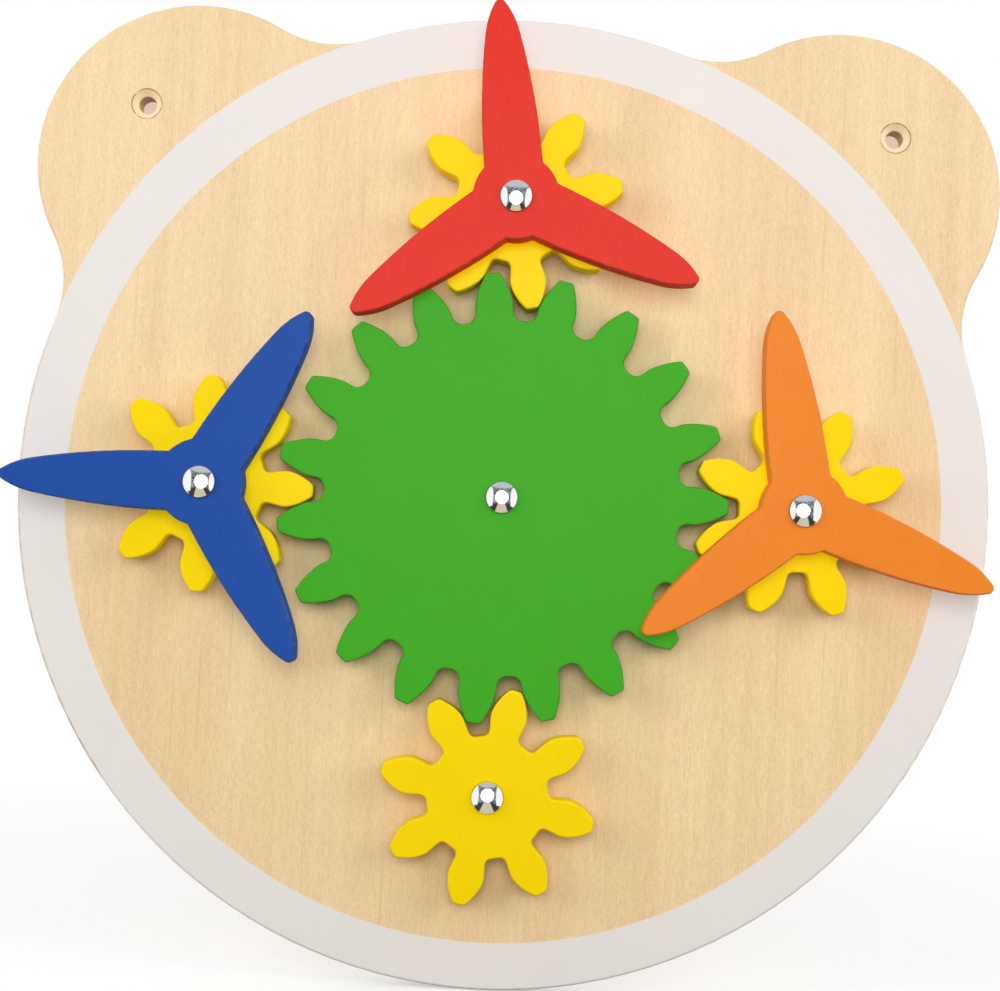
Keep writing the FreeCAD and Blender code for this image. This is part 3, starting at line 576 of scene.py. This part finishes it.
def mirrored_studio(tree):
    """What polished metal mirrors: white behind and at the sides, a dim room round the camera."""
    direction = add_node(tree, "ShaderNodeTexCoord").outputs["Generated"]
    x, y, z = parts_of(tree, direction)
    aside = absolute(tree, x)
    room = step(tree, noise(tree, direction, 170.0, detail=3.0), 0.36, 0.64)
    corner = both(tree, step(tree, z, *CORNER_UP), step(tree, aside, *CORNER_ASIDE))
    slant = total(tree, aside, product(tree, z, TABLE_TAPER))
    table = both(tree, step(tree, z, *TABLE_UP), step(tree, slant, *TABLE_ASIDE))
    side_panel = both(tree, step(tree, aside, *SIDE_PANEL_ASIDE),
                      both(tree, step(tree, z, *SIDE_PANEL_TOP), step(tree, z, *SIDE_PANEL_FOOT)))
    back_panel = both(tree, step(tree, absolute(tree, z), *BACK_PANEL_LEVEL),
                      step(tree, y, *BACK_PANEL_BEHIND))
    colour = blend(tree, room, DARK_ROOM, LIGHT_ROOM)
    for mask, seen in ((step(tree, z, *CEILING_UP), CEILING_GREY), (corner, DARK_CORNER),
                       (table, TABLE_TAN), (side_panel, PANEL_WHITE), (back_panel, PANEL_WHITE)):
        colour = blend(tree, mask, colour, seen)
    return colour


def make_world():
    """White where it is seen directly, the studio where it is mirrored, a plain grey for light."""
    world = bpy.data.worlds.new("studio")
    world.use_nodes = True
    tree = world.node_tree
    tree.nodes.clear()
    path = add_node(tree, "ShaderNodeLightPath")
    colour = blend(tree, path.outputs["Is Glossy Ray"], (WORLD_LIGHT,) * 3, mirrored_studio(tree))
    seen = maths(tree, "MAXIMUM", path.outputs["Is Camera Ray"], path.outputs["Is Transmission Ray"])
    colour = blend(tree, seen, colour, PANEL_WHITE)
    background = add_node(tree, "ShaderNodeBackground", {"Color": colour, "Strength": 1.0})
    finish(tree, background, "ShaderNodeOutputWorld")
    bpy.context.scene.world = world


# --- floor and cards -----------------------------------------------------------------------

SQUARE = ((-1, -1), (1, -1), (1, 1), (-1, 1))
FLOOR_SIDE = 8.0
FLOOR_GAP = 0.0003                         # under the board
FLOOR_SEEN = (0.50, 0.50, 0.50)
FLOOR_BOUNCE = (0.22, 0.21, 0.19)          # darker for the light that it throws on the object
FLOOR_WHITENESS = 0.48                     # near the object, so that its shadow stays visible
FLOOR_NEAR, FLOOR_FAR = 0.6, 1.8           # between these the whiteness rises to 1
# The painted shade of a wall, shown by glowing cards behind the screw holes.
WALL_SHADE = (0.75, 0.56, 0.46)
HOLE_SHADE_REACH = 0.008
HOLE_SHADE_BACK = 0.0006                   # behind the board


def add_card(name, corners, material):
    mesh = bpy.data.meshes.new(name)
    mesh.from_pydata(corners, [], [(0, 1, 2, 3)])
    mesh.materials.append(material)
    card = bpy.data.objects.new(name, mesh)
    card.visible_glossy = False
    bpy.context.scene.collection.objects.link(card)
    return card


def make_floor():
    """A pale floor that keeps the object's shadow."""
    material, tree = new_tree("floor")
    seen = add_node(tree, "ShaderNodeLightPath").outputs["Is Camera Ray"]
    grey = blend(tree, seen, FLOOR_BOUNCE, FLOOR_SEEN)
    matt = add_node(tree, "ShaderNodeBsdfDiffuse", {"Color": grey})
    away = vector_maths(tree, "LENGTH", {0: place(tree)}).outputs["Value"]
    whiteness = step(tree, away, FLOOR_NEAR, FLOOR_FAR, at_low=FLOOR_WHITENESS)
    glow = add_node(tree, "ShaderNodeEmission", {"Strength": product(tree, seen, whiteness)})
    finish(tree, add_node(tree, "ShaderNodeAddShader", {0: matt.outputs[0], 1: glow.outputs[0]}))

    low, _ = CAD_BOX
    half = FLOOR_SIDE / 2
    floor = add_card("floor", [(x * half, y * half, low.z - FLOOR_GAP) for x, y in SQUARE], material)


def make_hole_shades():
    """Glowing cards behind the two screw holes, in a wall's painted shade, seen only from the front."""
    material, tree = new_tree("hole_shade")
    from_front = opposite(tree, add_node(tree, "ShaderNodeNewGeometry").outputs["Backfacing"])
    seen = product(tree, from_front, add_node(tree, "ShaderNodeLightPath").outputs["Is Camera Ray"])
    clear = add_node(tree, "ShaderNodeBsdfTransparent")
    wall = add_node(tree, "ShaderNodeEmission", {"Color": (*WALL_SHADE, 1.0), "Strength": 1.0})
    sockets = {0: seen, 1: clear.outputs[0], 2: wall.outputs[0]}
    finish(tree, add_node(tree, "ShaderNodeMixShader", sockets))

    reach = HOLE_SHADE_REACH
    for side in (-1, 1):
        middle = SCREW_HOLE.x * side
        corners = [(middle + x * reach, HOLE_SHADE_BACK, z * reach) for x, z in SQUARE]
        card = add_card("hole_shade", corners, material)
        card.visible_diffuse = card.visible_shadow = False


# --- lamps ---------------------------------------------------------------------------------

# Each softbox's place, width, height and watts.  Those at the side and the back stand in pairs,
# of which this is the right one.
ROUND_SOFTBOX = ((0.0, -0.75, -0.12), 0.98, 0.98, 3.1)
FRONT_SOFTBOX = ((0.0, -1.0, 0.05), 0.60, 0.60, 4.6)
SIDE_SOFTBOX = ((1.0, -0.62, 0.28), 0.7, 0.9, 7.2)
BACK_SOFTBOX = ((0.8, 1.0, 0.25), 0.8, 0.8, 7.5)
LAMPS_AIM = Vector((0.0, -0.02, -0.15))


def add_lamp(name, softbox, shape="RECTANGLE", side=1):
    """An area lamp whose light is seen but not its face. side is -1 for the left of a pair."""
    (x, y, z), width, height, watts = softbox
    data = bpy.data.lights.new(name, "AREA")
    data.shape = shape
    data.size = width
    data.size_y = height
    data.energy = watts
    lamp = bpy.data.objects.new(name, data)
    lamp.location = (x * side, y, z)
    lamp.rotation_euler = (LAMPS_AIM - lamp.location).to_track_quat("-Z", "Y").to_euler()
    lamp.visible_camera = False
    lamp.visible_glossy = False
    bpy.context.scene.collection.objects.link(lamp)
    return lamp


def collect(name, nodes):
    """A collection of CAD nodes, for a lamp's light linking."""
    collection = bpy.data.collections.new(name)
    for node in nodes:
        collection.objects.link(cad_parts[node])
    return collection


def make_lamps():
    """The round softbox lights and shows in the axle heads only. The side softboxes pass through
    the propellers, which would otherwise throw stronger shadows than soft light does."""
    disc = add_lamp("round_softbox", ROUND_SOFTBOX, "DISK")
    disc.visible_glossy = True
    disc.light_linking.receiver_collection = collect(
        "polished_heads", [f"axle_bolt_{axle}" for axle in AXLES])
    add_lamp("front_softbox", FRONT_SOFTBOX, "DISK")
    blades = collect("blades_without_side_shadow", [f"propeller_{axle}" for axle in PROPELLER_AXLES])
    for entry in blades.collection_objects:
        entry.light_linking.link_state = "EXCLUDE"
    for name, side in (("left", -1), ("right", 1)):
        lamp = add_lamp(f"{name}_softbox", SIDE_SOFTBOX, side=side)
        lamp.light_linking.blocker_collection = blades
    for name, side in (("left", -1), ("right", 1)):
        add_lamp(f"back_{name}_softbox", BACK_SOFTBOX, side=side)


# --- scene ---------------------------------------------------------------------------------

make_camera()
dress_nodes()
make_world()
make_floor()
make_hole_shades()
make_lamps()
bpy.context.scene.view_settings.view_transform = "Standard"
